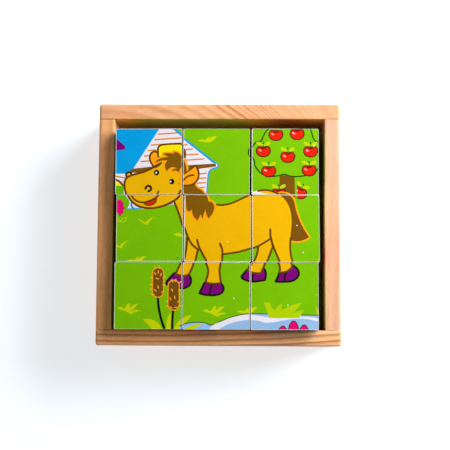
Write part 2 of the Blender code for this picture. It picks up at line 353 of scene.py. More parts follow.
def pony_body(picture):
    """Body and near legs in one coat, then the lines that part them."""
    picture.fill([
        (34.5, 34, 0), (46.2, 34, 0), (47.9, 37.2, 0), (50.4, 38.2), (52.3, 40.1, 0), (55.4, 40.3),
        (60.4, 39), (66.4, 36.2), (70.6, 34.3), (74.8, 32.8), (79.2, 32.8), (83.2, 34), (87.4, 37.6),
        (89.8, 42.6), (90.6, 48.6), (90.2, 54), (89.6, 60.4), (90.2, 67), (91.4, 71.2), (91.6, 72.4, 0),
        (89.4, 74.2), (85, 75.2, 0), (84.9, 72.4), (82, 65), (79.6, 58, 0), (73.2, 61.6), (64.2, 64.6),
        (55.2, 66.2, 0), (54.3, 73.5), (54.9, 80.4, 0), (50.4, 80.7), (47.1, 80, 0), (48.3, 75), (47, 70.2),
        (44.6, 65.7), (42.6, 64), (38.6, 60.6), (35.2, 52.6), (32.6, 44.6), (30, 38, 0)], COAT)
    picture.line([(30, 37.8), (32.6, 44.4), (35.3, 52.6), (38.7, 60.5), (42.6, 63.9)], OUTLINE, PEN)
    picture.line([
        (52, 40.1), (55.4, 40.2), (60.4, 39), (66.4, 36.2), (70.6, 34.3), (74.8, 32.8), (79.2, 32.8),
        (83.8, 34.5)], OUTLINE, FINE_PEN)
    picture.line([(90, 57.6), (89.7, 61.4), (90.2, 67), (91.5, 71.8)], OUTLINE, FINE_PEN)
    picture.line([
        (79.4, 53), (79.6, 57), (81.6, 63.6), (84.5, 70.6), (85.1, 73.2), (84.9, 75.4)], OUTLINE, PEN)
    picture.line([(55, 66.2), (64.2, 64.7), (73.2, 61.6), (79.4, 57.9)], OUTLINE, FINE_PEN)
    picture.line([(53.8, 60.6), (55, 64), (54.9, 69.5), (54.2, 74.5), (54.9, 80.3)], OUTLINE, PEN)
    picture.line([
        (41.8, 58.6), (42.8, 62.2), (44.9, 66.4), (47.3, 71), (48.3, 75), (47.1, 80)], OUTLINE, PEN)


def pony_near_hooves(picture):
    picture.fill([
        (46.5, 80.5, 0), (45.2, 83.1), (43.7, 86.3, 0), (47.4, 87.1), (52, 87.2), (55.4, 85.9),
        (56.4, 83.4), (54.9, 80.9, 0), (50.8, 81.4)], PURPLE, INK, PEN)
    picture.line([(50.7, 81.4), (49.5, 83.7), (49, 86.9)], INK, 0.8)
    picture.fill([
        (84.6, 75.7, 0), (83.7, 78.2), (82.6, 80, 0), (87, 80.1), (92, 79.4), (94.7, 76.9), (94.5, 73.9),
        (92.1, 71.5, 0), (89.8, 74.1), (86.8, 75.5)], PURPLE, INK, PEN)
    picture.line([(88.6, 75.2), (87.7, 76.9), (87.4, 79.7)], INK, 0.8)
    picture.line([(47.1, 80.6), (50.6, 81.3), (54.7, 80.9)], OUTLINE, FINE_PEN)
    picture.line([(85, 75.5), (89.2, 74.5), (91.8, 72.2)], OUTLINE, FINE_PEN)


def pony_mane(picture):
    """The mane down the neck, with a bright edge round its locks."""
    locks = [
        (35, 29.6, 0), (40.4, 29.2), (42.4, 31.4), (45, 33), (46.6, 35), (47.3, 36.6), (47.5, 38.1, 0),
        (49.3, 38.7), (50.5, 40.2), (50.7, 42.2), (49.7, 44.8), (47.7, 47.4, 0), (46.6, 45.2),
        (46.1, 42.6, 0), (45.2, 45), (44.5, 47.6, 0), (43.6, 45.2, 0), (42.9, 46.6), (42, 48.4, 0),
        (39.8, 46.2), (38.8, 42.6, 0), (37.4, 43.7), (36.1, 42.4), (35.7, 38)]
    picture.fill(locks, AMBER, AMBER, 1.7)
    picture.fill(locks, MANE)


def left_ear(picture):
    picture.fill([
        (23.4, 16.6), (22.6, 13.6), (21, 12.2), (18.9, 12.9), (17.9, 15.4), (18.8, 18.4), (20.7, 20.6),
        (23.6, 19.6)], AMBER, OUTLINE, FINE_PEN)


def right_ear(picture):
    edge = [
        (35, 24.3), (38, 22.2), (41.6, 19.5, 0), (43.1, 22.8), (43, 26.2), (41.2, 29), (38.4, 30.2),
        (35, 30.3)]
    picture.fill([(35, 24.3, 0), *edge[1:-1], (35, 30.3, 0)], AMBER)
    picture.line(edge, OUTLINE, FINE_PEN)
    picture.line([(35, 28.1), (35.8, 26.9), (37.4, 25.5), (39, 24.9), (40.6, 24.8)], OUTLINE, 0.75)


def beside_the_hat(picture):
    """The strip of gable, hat and forelock that the back middle cube carries past its left edge."""
    picture.flat([(35, 5.8), (36.3, 6.9), (36.3, 20), (35, 24)], WALL)
    stripes(picture, ((35.2, 8.6), (36.8, 8.6)), ((36.5, 11.15), (39.7, 10.85)))
    picture.fill([(35, 10, 0), (35.9, 11), (36.4, 12.8), (36.3, 16.2, 0), (35, 16.4, 0)], OUTLINE)
    picture.fill([
        (35, 15.2, 0), (36, 15.9), (37.2, 18.6), (37.9, 21.4), (37.7, 22.1, 0), (35, 24, 0)], AMBER)
    picture.fill([(35, 16.2, 0), (35.8, 17.6), (36.5, 20), (36.9, 22.6, 0), (35, 23.9, 0)], MANE)


def pony_head(picture):
    """The head, hat, forelock and face."""
    picture.oval(6.9, 24.6, 1.35, 1.5, COAT, 30, INK, FINE_PEN)
    picture.fill([
        (5.6, 26.4), (8.6, 24.7), (14.4, 23.1), (19, 21.2), (22, 18.8), (25, 16.6), (30, 15.6),
        (34.4, 17.4), (35, 23), (35, 30.6), (33.2, 35.6), (28.4, 39.2), (23.2, 41.2), (17.6, 42),
        (12, 41.1), (8.2, 38.6), (5.7, 34.8), (4.7, 30.4)], COAT)
    picture.line([
        (30.2, 38.1), (26.4, 40.1), (22, 41.5), (17.6, 42), (12, 41.1), (8.2, 38.6), (5.7, 34.8),
        (4.7, 30.4), (5.5, 26.6), (8.6, 24.8), (14.4, 23.2), (18.6, 21.4), (21.6, 19.6),
        (23.8, 18.4)], OUTLINE, PEN)
    picture.line([(30.2, 38.1), (32.6, 36.2), (34.3, 33.2)], OUTLINE, PEN)
    picture.fill([
        (22.9, 15.2), (22.3, 12.4), (22.4, 10.2), (23.2, 9.1), (25, 8.5), (30.4, 8.1), (34.4, 8.1, 0),
        (35.4, 9, 0), (35.4, 16.2, 0), (30, 15.4)], YELLOW, OUTLINE, FINE_PEN)
    forelock = [
        (24.6, 13.4, 0), (27.6, 13), (30.8, 13.4, 0), (30.6, 12.2, 0), (33, 13), (35, 14.8, 0),
        (35, 23.6, 0), (34.2, 24, 0), (33, 23, 0), (31.4, 22.4), (29.6, 22.9, 0), (30.6, 21.5),
        (32.6, 21.2, 0), (29.6, 20.6), (26.8, 22.7, 0), (26, 19.6), (27.2, 16.8, 0), (23.6, 17.2),
        (20.6, 18.4, 0), (22.6, 16.2), (27.8, 15, 0)]
    picture.fill(forelock, AMBER, AMBER, 1.5)
    picture.fill(forelock, MANE)
    picture.line([(20.9, 20.6), (22.6, 19.6), (24, 18.3)], OUTLINE, 0.9)
    picture.line([(33.6, 29.3), (34.9, 29.4)], OUTLINE, 0.75)
    for x, y, u in ((21.6, 23.45, 0.1), (29.65, 28.25, -0.45)):
        picture.oval(x, y, 1.45, 1.5, INK)
        picture.oval(x - 0.25 + u, y + 0.05, 0.5, 0.5, WHITE, points=12)
    picture.line([
        (15.8, 32), (16.5, 30.8), (17.8, 30.5), (18.8, 31.6), (18.5, 32.8), (17.4, 33.4)], INK, PEN)
    picture.fill([
        (13.8, 38.9, 0), (17.6, 38.3), (21, 36.6, 0), (20.6, 38.6), (18.8, 40.1),
        (16, 40.4)], RED, OUTLINE, 0.6)
    picture.line([
        (7.9, 35.6), (9.4, 37.4), (12, 38.7), (15.4, 38.7), (18.8, 37.4), (21.6, 35.6),
        (22.7, 33.4)], OUTLINE, 0.8)


def apple_tree(picture):
    crown = [
        (79.6, -1), (77.4, 1.3), (76, 3.6), (74.7, 6.5), (72, 7.3), (70.4, 9.3), (69.4, 12), (70.1, 15.1),
        (71.2, 16.8), (71.5, 19.2), (72.7, 21.4), (75.2, 24), (79, 25.4), (84.3, 24.9), (87, 24.2),
        (89.6, 25), (93, 25.4), (98.6, 24.7), (103, 23), (106, 20)]
    apple(picture, 95, 33.9, 26)
    picture.flat([(92.4, 25.4), (93.7, 25.4), (93.7, 36), (92.4, 36)], GRASS)
    picture.flat([(84.6, 24.6), (92.4, 25), (92.8, 36), (84.4, 36)], TRUNK)
    picture.line(crown, FOREST, 0.6)
    picture.line([(100.4, -1), (101.6, 2.6), (102.3, 5), (104, 6.8), (106, 7.6)], FOREST, 0.6)
    for x, y in ((82.6, 3.4), (93.8, 2.9), (76, 12.1), (88.9, 15.1), (100.9, 12.1), (78.9, 22.8),
                 (100.1, 22.2), (84.2, 34.8)):
        apple(picture, x, y)


def water_edge(picture):
    """The pond along the front, its bank, and the flowers that stand in it."""
    shore = [
        (34, 103.4, 0), (36.6, 102), (42, 101.3), (46.8, 101.6), (50, 102.7), (54.6, 100.8), (61.6, 98.2),
        (69, 96.9), (79, 96.8), (95, 97.2), (106, 97.4, 0)]
    picture.fill([*shore, (106, 107, 0), (34, 107, 0)], POND_LIGHT)
    picture.line(shore, FOREST, 0.4)
    picture.fill([
        (48.4, 106, 0), (50.4, 103), (54.7, 101), (61.7, 98.4), (69.2, 97.1), (75, 97.9), (83, 99),
        (91, 98.4), (99, 98.2), (106, 99.2, 0), (106, 100.8, 0), (98, 99.2), (90, 99.5), (82, 101),
        (76, 101.2), (70.6, 99.9), (64, 100.7), (58.4, 102.4), (52.6, 105.4, 0)], BANK)
    picture.fill([
        (53.4, 105.6, 0), (58.4, 102.7), (64, 101), (70.6, 100.2), (74.4, 100.4), (78, 101.6), (84, 101.2),
        (91, 99.9), (98, 99.5), (106, 101.2, 0), (106, 107, 0), (53, 107, 0)], POND)
    for left, top, right in ((83.8, 103, 89.3), (89.4, 100.4, 94.8), (94.9, 102.4, 100.2)):
        middle = (left + right) / 2 + 0.1
        picture.fill([
            (left - 0.4, 107, 0), (left + 0.8, top + 1.7), (middle, top), (right - 0.8, top + 1.9),
            (right + 0.3, 107, 0)], MAGENTA, linear(96, 40, 20), 0.5)


def meadow_plants(picture):
    grass(picture, TUFT, ((1.1, 94), (45.4, 95.2)))
    grass(picture, SMALL_TUFT, ((42.4, 6.5), (5.4, 69.9), (63, 95.9)))
    picture.flat([(0, 70), (20, 70), (20, 71.5), (0, 71.5)], GRASS)
    grass(picture, BLADE_PAIR, ((11, 47.8), (-2.6, 60.2)))
    picture.fill([(30, 56, 0), (31.4, 55.2), (33.2, 55.3), (36.4, 57, 0), (33.4, 57)], LIME)
    picture.fill([(103.2, 87, 0), (106, 85.8, 0), (106, 87.4, 0)], LIME)
    picture.fill([(103.5, 92.4, 0), (104.9, 95), (105.4, 99.4, 0), (104.4, 97.6)], LIME)
    picture.fill([
        (14.9, 99.7, 0), (19, 99.8), (22.6, 101.6), (25.6, 105.6, 0), (20, 105.4, 0), (17.2, 102.2)], LIME)
    picture.fill([(29.9, 96.2, 0), (27.8, 99), (27, 105.6, 0), (30.1, 105.6, 0), (29.7, 100.6)], LIME)
    picture.fill([
        (30.8, 105.6, 0), (33, 101.4), (36.4, 98.4), (39.9, 97.4, 0), (38, 100), (35.2, 102.8),
        (34, 105.6, 0)], LIME)
    picture.fill([(103.4, 68.6, 0), (106, 67.8, 0), (106, 69, 0)], LIME)


def over_the_water(picture):
    """The wide tuft that hangs over the water's edge, and a blade further left."""
    picture.fill([
        (76.7, 90.8, 0), (79.7, 90.8, 0), (80.6, 93.2), (82.5, 95, 0), (83.9, 92.8), (86.3, 91.2, 0),
        (86, 93.4), (85.3, 95.2, 0), (90.4, 92.6), (96.4, 90.7, 0), (94.2, 93.8), (91.2, 96.6, 0),
        (94.2, 95.4), (97.3, 94.6, 0), (96.4, 96.6), (95, 98.8, 0), (88, 98.9), (79.2, 98.8, 0),
        (78.6, 95.8)], SHORE_LIME)
    picture.fill([
        (34.8, 105.8, 0), (37.6, 103.8), (41.4, 102.2), (46.5, 101.5, 0), (44.2, 102.9), (41, 104.6),
        (39.8, 105.8, 0)], LIME)


def bulrushes(picture):
    picture.line([(22.6, 88), (23.1, 93.4), (24.4, 99.6), (26.6, 106)], INK, 1.1)
    picture.line([(30.7, 95), (30.3, 100.4), (30.2, 106)], INK, 1.1)
    reed_head(picture, 22.7, 72.7, 88.8, (
        (-1.6, 3.4, 60), (0, 2.7, 90), (1.6, 3.9, 100), (-3.2, 5.6, 20), (3.3, 5.4, -20), (-0.4, 6, 20),
        (0.1, 10.4, 80), (-1.4, 12.2, 50), (2.4, 12.9, -35), (-3.7, 9.2, 0), (-3.5, 11.6, 10),
        (-2.6, 14.2, 15), (-1.5, 0.3, 60), (0.6, 0, 90), (3.3, 9.4, 10)))
    reed_head(picture, 30.9, 79.3, 95.5, (
        (-0.8, 5.4, 65), (0.6, 9.2, 85), (-1.8, 10, 60), (-3.5, 11.2, 0), (2.6, 11.4, -10),
        (-3.4, 13.8, 10), (-1.4, 14.5, 25), (1.2, 14.4, -10), (3.2, 5.4, 0), (3.3, 1.4, -30),
        (0.9, 0.4, -70), (-0.8, 0.6, 70), (3.4, 13.6, -15)))


def cheek(picture):
    """The bright strip down the head's right side, as far as the back left cube's edge."""
    picture.fill([(33.9, 21.5, 0), (35, 21, 0), (35, 31, 0), (34.3, 30.6), (33.5, 28), (33.4, 25)], AMBER)


def worn_specks(picture):
    for x, y in ((57.8, 59.5), (93.4, 50.9), (96.5, 65), (61.7, 88.8), (89.2, 92.2), (102.6, 9.2)):
        picture.oval(x, y, 0.40, 0.34, PAPER_EDGE, points=8)
    picture.oval(32.3, 68.2, 0.48, 0.40, FOREST, points=8)


def meadow():
    """The whole picture, drawn from the furthest thing to the nearest."""
    picture = Picture(GRASS)
    for part in (house_behind, garden, apple_tree, meadow_plants, pony_far_legs, pony_tail, pony_body,
                 pony_near_hooves, pony_mane, left_ear, pony_head, right_ear, beside_the_hat, cheek,
                 water_edge, over_the_water, bulrushes, worn_specks):
        part(picture)
    return picture


# ---------------------------------------------------------------- the five other pictures

def hills(picture, colours, heights):
    for colour, height in zip(colours, heights):
        points = [(-3, height + 2, 0)]
        points += [(x, height + 3 * math.sin(x / 17 + height)) for x in range(8, 104, 16)]
        points += [(108, height, 0), (108, 108, 0), (-3, 108, 0)]
        picture.fill(points, colour, OUTLINE, 0.5)


def barn_picture():
    """A barn and a round tree on green hills."""
    picture = Picture(linear(120, 205, 235))
    picture.oval(84, 17, 9, 9, YELLOW, 0, AMBER, 1, 28)
    cloud(picture, 26, 15, 1.3)
    cloud(picture, 58, 9, 0.8)
    hills(picture, (linear(150, 205, 60), GRASS, BUSH), (44, 58, 82))
    picture.flat([(30, 76), (30, 46), (46, 32), (62, 46), (62, 76)], OUTLINE)
    picture.flat([(31, 75), (31, 46.6), (46, 33.4), (61, 46.6), (61, 75)], RED)
    picture.flat([(40, 75), (40, 56), (52, 56), (52, 75)], WALL)
    for start, end in ((40, 52), (52, 40), (46, 46)):
        picture.line([(start, 56), (end, 75)], EAVE, 0.8)
    picture.line([(40, 56), (52, 56)], EAVE, 0.8)
    picture.oval(46, 45, 3.4, 3.4, WALL, 0, EAVE, 0.8)
    picture.flat([(82, 80), (82, 60), (86, 60), (86.6, 80)], TRUNK)
    picture.oval(84, 52, 12, 13, linear(80, 160, 20), 0, FOREST, 0.7, 30)
    for x, y in ((78, 48), (88, 50), (84, 57)):
        picture.oval(x, y, 1.6, 1.6, RED, 0, INK, 0.4)
    grass(picture, TUFT, ((6, 92), (40, 96), (74, 90)))
    for x in (10, 24, 92):
        flower(picture, x, 80 + x % 7, 3.4, 6, WHITE, YELLOW)
    return picture


def boat_picture():
    """A sailing boat on a blue lake."""
    picture = Picture(linear(160, 220, 245))
    cloud(picture, 20, 16, 1.2)
    cloud(picture, 84, 22, 1.5)
    hills(picture, (linear(130, 190, 70), ), (52,))
    for step in range(5):
        shade = 1 - 0.09 * step
        colour = tuple(value * shade for value in linear(60, 160, 225)[:3]) + (1,)
        top = 62 + 9 * step
        crest = [(-3, top, 0)] + [(x, top + (1.2 if x // 7 % 2 else -1.2)) for x in range(4, 105, 7)]
        picture.fill([*crest, (108, top, 0), (108, 108, 0), (-3, 108, 0)], colour, WHITE, 0.4)
    picture.line([(52, 66), (52, 14)], EAVE, 1.4)
    picture.fill([(53, 16, 0), (66, 34), (74, 56, 0), (53, 58, 0)], WALL, OUTLINE, 0.7)
    picture.fill([(50.6, 20, 0), (42, 38), (34, 56, 0), (50.6, 58, 0)], YELLOW, OUTLINE, 0.7)
    picture.flat([(52, 14), (60, 11.5), (52, 9.4)], RED)
    picture.fill([(26, 64, 0), (80, 64, 0), (74, 74), (66, 78, 0), (38, 78, 0), (30, 73)], RED, OUTLINE, 0.9)
    picture.line([(28, 68), (78, 68)], WALL, 1.2)
    for x, y in ((12, 88), (88, 92), (50, 96)):
        picture.line([(x, y), (x + 4, y - 1.4), (x + 8, y)], WHITE, 0.7)
    return picture


def sunflower_picture():
    """One big sunflower on leaf green."""
    picture = Picture(linear(150, 208, 40))
    for x, y, size in ((10, 12, 7), (94, 14, 8), (12, 92, 8), (92, 90, 7), (96, 54, 5), (8, 52, 5)):
        flower(picture, x, y, size, 7, MAGENTA if size % 2 else WALL, YELLOW)
    picture.line([(53, 60), (54, 84), (50, 108)], FOREST, 3.4)
    for turn, y in ((-28, 88), (200, 94)):
        picture.leaf(52, y, 30, 15, turn, linear(70, 150, 20))
    for ring, colour, width in ((1, AMBER, 9), (0, YELLOW, 9.5)):
        for turn in range(12 * ring, 360 + 12 * ring, 24):
            (foot, ) = moved([(8, 0)], 52, 46, turn)
            picture.leaf(*foot, 25 + 3 * ring, width, turn, colour)
    picture.oval(52, 46, 13, 13, REED, 0, OUTLINE, 1.2, 36)
    for step in range(60):
        reach = 1.5 * math.sqrt(step + 0.5)
        angle = step * GOLDEN_ANGLE
        picture.oval(52 + reach * math.cos(angle), 46 + reach * math.sin(angle), 0.5, 0.5, AMBER, points=6)
    return picture


def fish_picture():
    """Two fish among weeds."""
    picture = Picture(linear(30, 150, 215))
    picture.fill([
        (-3, 92, 0), (16, 88), (40, 93), (68, 87), (92, 92), (108, 90, 0), (108, 108, 0),
        (-3, 108, 0)], linear(240, 215, 140))
    for x, height in ((8, 40), (18, 58), (90, 36), (99, 56)):
        weed = [(x, 98), (x + 3, height + 26), (x - 2, height + 12), (x + 2, height)]
        picture.line(weed, FOREST, 3)
        picture.line(weed, BUSH, 2)
    for x, y, size, colour, stripe in ((52, 38, 1, AMBER, WALL), (58, 72, 0.62, RED, YELLOW)):
        picture.fill([
            (x + 19 * size, y, 0), (x + 34 * size, y - 12 * size, 0), (x + 31 * size, y),
            (x + 34 * size, y + 12 * size, 0)], colour, OUTLINE, 0.8)
        picture.oval(x, y, 25 * size, 14 * size, colour, 0, OUTLINE, 0.9, 34)
        for shift in (-6, 5):
            picture.line([
                (x + shift * size, y - 13 * size), (x + (shift + 3) * size, y),
                (x + shift * size, y + 13 * size)], stripe, 3.2 * size)
        picture.oval(x - 15 * size, y - 3 * size, 2.6 * size, 2.6 * size, WHITE, 0, INK, 0.5)
        picture.oval(x - 15.6 * size, y - 3 * size, 1.2 * size, 1.2 * size, INK)
        picture.line([(x - 24 * size, y + 3 * size), (x - 19 * size, y + 4.5 * size)], OUTLINE, 0.8)
    for x, y, size in ((22, 26, 2), (26, 18, 1.4), (23, 11, 2.4), (84, 22, 1.8), (88, 14, 1.3)):
        picture.oval(x, y, size, size, linear(170, 220, 250), 0, WHITE, 0.4)
    return picture


def balloon_picture():
    """A striped balloon over fields."""
    picture = Picture(linear(190, 228, 120))
    cloud(picture, 18, 22, 1.3)
    cloud(picture, 88, 34, 1.4)
    hills(picture, (linear(120, 190, 40), BUSH, linear(90, 165, 10)), (78, 86, 95))
    for half, colour in ((26, RED), (18, YELLOW), (9.5, RED), (3.4, YELLOW)):
        picture.fill([
            (52, 8), (52 + half, 32), (52 + half * 0.55, 54), (52 + half * 0.24, 62, 0),
            (52 - half * 0.24, 62, 0), (52 - half * 0.55, 54), (52 - half, 32)], colour, OUTLINE, 0.7)
    for x, end in ((46.4, 48), (57.6, 56), (52, 52)):
        picture.line([(x, 62), (end, 70)], OUTLINE, 0.6)
    picture.fill([
        (46, 70, 0), (58, 70, 0), (56.6, 78), (54, 79, 0), (50, 79, 0), (47.4, 78)], TRUNK, OUTLINE, 0.8)
    grass(picture, TUFT, ((8, 98), (70, 99)))
    return picture


# ---------------------------------------------------------------- sheets of printed paper

TOP_LOW, TOP_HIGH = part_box("top_picture_front_middle")
CUBE_HALF = (TOP_HIGH.x - TOP_LOW.x) / 2
SHEET_THICKNESS = 0.16 * MM
SHEET_PLAY = 0.02 * MM
WIDE_HALF = CUBE_HALF - SHEET_PLAY                      # a sheet that covers its neighbours' edges
NARROW_HALF = CUBE_HALF - SHEET_THICKNESS - SHEET_PLAY  # a sheet that ends under its neighbours
SHEET_CORNER = 0.75 * MM
SHEET_ROUND = 0.04 * MM
PRINT_MARGINS = np.array((0.17, 0.11)) * MM
PRINT_SHIFT = 0.16 * MM
PRINT_WANDER = 0.04 * MM
PRINT_EDGE = 0.01 * MM                                  # a print never comes nearer to its sheet's edge
LIFT_REACH = 0.9 * MM                                   # how far in from its edge a sheet starts to lift
LIFT_HEIGHT = 0.12 * MM
# How far a top sheet stands out at its sides, at its front and back, and its shift back; back row first
OVERHANGS = np.array(((0.10, 0.13, 0.09), (0.10, 0.04, 0), (0.10, 0.04, 0))) * MM
# The half sizes of the sheets in front, right, back, left and under
SIDE_WIDTHS = (WIDE_HALF, NARROW_HALF, WIDE_HALF, NARROW_HALF, WIDE_HALF)
SIDE_HEIGHTS = (NARROW_HALF, NARROW_HALF, NARROW_HALF, NARROW_HALF, WIDE_HALF)


def rounded_oblong(half_u, half_v, radius):
    """A closed outline with round corners, and points along its sides."""
    corners = []
    for quarter, (sign_u, sign_v) in enumerate(((1, 1), (-1, 1), (-1, -1), (1, -1))):
        centre = np.array([sign_u * (half_u - radius), sign_v * (half_v - radius)])
        for step in range(6):
            angle = math.radians(90 * quarter + 18 * step)
            corners.append(centre + radius * np.array([math.cos(angle), math.sin(angle)]))
    points = []
    for index, start in enumerate(corners):
        end = corners[(index + 1) % len(corners)]
        pieces = 8 if np.linalg.norm(end - start) > 2 * radius else 1
        points += [start + (end - start) * piece / pieces for piece in range(pieces)]
    return np.array(points)


def trimmed_print(half_u, half_v, radius, seed):
    """The printed area of a sheet, cut by hand: a little off centre, with sides that wander."""
    spots = (seed, 0.4, 9.1), (3.3, seed, 5.7)
    shift = PRINT_SHIFT * np.array([noise.noise(Vector(spot)) for spot in spots])
    margin_u, margin_v = PRINT_MARGINS
    points = rounded_oblong(half_u - margin_u, half_v - margin_v, radius)
    wander = [PRINT_WANDER * noise.noise(Vector((x * 160 + seed, y * 160, seed))) for x, y in points]
    points = points * (1 + np.array(wander)[:, None] / CUBE_HALF) + shift
    limit = np.array([half_u, half_v]) - PRINT_EDGE
    return np.clip(points, -limit, limit)


def inside(polygon, spots):
    """Which spots a closed outline winds round, by its winding number."""
    winding = np.zeros(len(spots), int)
    for (x0, y0), (x1, y1) in zip(polygon, np.roll(polygon, -1, 0)):
        if y0 == y1:
            continue
        left = (x1 - x0) * (spots[:, 1] - y0) - (spots[:, 0] - x0) * (y1 - y0)
        winding += ((y0 <= spots[:, 1]) & (spots[:, 1] < y1) & (left > 0)).astype(int)
        winding -= ((y1 <= spots[:, 1]) & (spots[:, 1] < y0) & (left < 0)).astype(int)
    return winding != 0


def cell_layers(picture, column, row):
    """The picture's layers that reach one cell, in metres about the cell's middle, y up."""
    scale = 2 * CUBE_HALF / CELL
    middle = np.array([(column + 0.5) * CELL, (row + 0.5) * CELL])
    layers = []
    for colour, outline in picture.layers:
        local = (outline - middle) * (scale, -scale)
        if (local.max(0) > -CUBE_HALF).all() and (local.min(0) < CUBE_HALF).all():
            layers.append((colour, local))
    return layers


def printed_face(layers, half_u, half_v, seed):
    """The sheet's face cut along its outlines: points, triangles and a colour for each triangle."""
    limit = np.array([half_u, half_v]) - SHEET_ROUND
    sheet = rounded_oblong(*limit, SHEET_CORNER)
    shown = trimmed_print(*limit, SHEET_CORNER, seed)
    folds = [rounded_oblong(*(limit - inset), SHEET_CORNER) for inset in (LIFT_REACH, LIFT_REACH / 2)]
    loops = [sheet, shown, *folds] + [outline for colour, outline in layers]
    points, edges = [], []
    for loop in loops:
        first = len(points)
        points.extend(Vector(point) for point in loop)
        for index in range(len(loop)):
            start, end = loop[index], loop[(index + 1) % len(loop)]
            near = (np.minimum(start, end) < limit).all() and (np.maximum(start, end) > -limit).all()
            if near or loop is sheet:
                edges.append((first + index, first + (index + 1) % len(loop)))
    used = sorted({end for edge in edges for end in edge})
    renumbered = {old: new for new, old in enumerate(used)}
    made = delaunay_2d_cdt([points[old] for old in used],
                           [(renumbered[a], renumbered[b]) for a, b in edges], [], 0, 1e-7)
    corners = np.array([(point.x, point.y) for point in made[0]])
    triangles = np.array([face for face in made[2] if len(face) == 3])
    spots = corners[triangles].mean(1)
    kept = inside(sheet, spots)
    triangles, spots = triangles[kept], spots[kept]
    colours = np.zeros((len(triangles), 4))
    for colour, outline in layers:
        low, high = outline.min(0), outline.max(0)
        near = ((spots >= low) & (spots <= high)).all(1)
        if near.any():
            hit = np.flatnonzero(near)[inside(outline, spots[near])]
            colours[hit] = colour
    colours[~inside(shown, spots)] = PAPER_EDGE
    return corners, triangles, colours


def inked_face(bm, ink, corners, triangles, colours):
    """Adds a sheet's flat face to a bmesh. Gives back its points and the edges of its rim."""
    verts = {}
    faces = []
    for triangle, colour in zip(triangles, colours):
        for index in triangle:
            if index not in verts:
                verts[index] = bm.verts.new((*corners[index], CUBE_HALF))
        face = bm.faces.new([verts[index] for index in triangle])
        face[ink] = colour
        faces.append(face)
    bmesh.ops.recalc_face_normals(bm, faces=faces)
    if faces[0].normal.z < 0:
        bmesh.ops.reverse_faces(bm, faces=faces)
    rim = list({edge for face in faces for edge in face.edges if len(edge.link_faces) == 1})
    return list(verts.values()), rim


def edge_and_back(bm, ink, rim, core_u, core_v):
    """Carries a sheet's rim over a rounded edge and down its side, and closes the back. The sheet's
    corners are round about core_u, core_v. Gives back the new points."""
    made = []
    spread = 0.0
    for out, down in ((0.7 * SHEET_ROUND, 0.3 * SHEET_ROUND), (SHEET_ROUND, SHEET_ROUND),
                      (SHEET_ROUND, SHEET_THICKNESS)):
        grown = bmesh.ops.extrude_edge_only(bm, edges=rim)["geom"]
        lower = {item for item in grown if isinstance(item, bmesh.types.BMVert)}
        rim = [item for item in grown
               if isinstance(item, bmesh.types.BMEdge) and lower.issuperset(item.verts)]
        for face in (item for item in grown if isinstance(item, bmesh.types.BMFace)):
            face[ink] = PAPER_EDGE
        for vert in lower:
            centre = Vector((min(max(vert.co.x, -core_u), core_u), min(max(vert.co.y, -core_v), core_v)))
            away = (vert.co.xy - centre).normalized() * (out - spread)
            vert.co = (vert.co.x + away.x, vert.co.y + away.y, CUBE_HALF - down)
        made += lower
        spread = out
    for face in bmesh.ops.contextual_create(bm, geom=rim)["faces"]:
        face[ink] = PAPER_EDGE
    return made


def add_sheet(bm, layers, half_u, half_v, seed, place):
    """Adds one paper to a bmesh: its inked face, a rounded white edge, sides and a back."""
    ink = bm.faces.layers.float_color.get("ink") or bm.faces.layers.float_color.new("ink")
    verts, rim = inked_face(bm, ink, *printed_face(layers, half_u, half_v, seed))
    corner = SHEET_ROUND + SHEET_CORNER
    verts += edge_and_back(bm, ink, rim, half_u - corner, half_v - corner)
    for vert in verts:
        vert.co.z += edge_lift(vert.co, half_u, half_v, seed)
    bmesh.ops.transform(bm, matrix=place, verts=verts)


def edge_lift(spot, half_u, half_v, seed):
    """How far a sheet's edge has come up from the wood, more in some places than in others."""
    inward = min(half_u - abs(spot.x), half_v - abs(spot.y))
    share = max(0.0, 1.0 - inward / LIFT_REACH)
    local = 0.6 + 0.4 * noise.noise(Vector((spot.x * 90 + seed, spot.y * 90, seed)))
    return LIFT_HEIGHT * local * share ** 2


def smooth(mesh, angle):
    mesh.shade_smooth()
    mesh.set_sharp_from_angle(angle=math.radians(angle))


def object_from(bm, name, materials, smooth_angle=None):
    mesh = bpy.data.meshes.new(name)
    bm.to_mesh(mesh)
    bm.free()
    obj = bpy.data.objects.new(name, mesh)
    bpy.context.scene.collection.objects.link(obj)
    for material in materials:
        mesh.materials.append(material)
    if smooth_angle:
        smooth(mesh, smooth_angle)
    return obj


def cube_frames():
    """Each cube's middle and turn, from its packed core."""
    frames = {}
    for place in PLACES:
        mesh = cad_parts["top_picture_" + place].data
        spots = np.array([vert.co for vert in mesh.vertices])
        low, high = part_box("cube_" + place)
        centre = (low + high) / 2
        flat = spots[:, :2] - np.array(centre[:2])
        right = flat[(flat[:, 0] > CUBE_HALF * 0.98) & (abs(flat[:, 1]) < CUBE_HALF * 0.98)]
        upper, lower = right[right[:, 1].argmax()], right[right[:, 1].argmin()]
        turn = math.atan2(lower[0] - upper[0], upper[1] - lower[1])
        frames[place] = Matrix.Translation(centre) @ Matrix.Rotation(turn, 4, "Z")
    return frames


def face_turn(side):
    """The turn that carries a cube's top to a side: 0 to 3 are front, right, back and left, 4 is under."""
    if side == 4:
        return Matrix.Rotation(math.pi, 4, "X")
    return Matrix.Rotation(math.radians(90 * side), 4, "Z") @ Matrix.Rotation(math.radians(90), 4, "X")


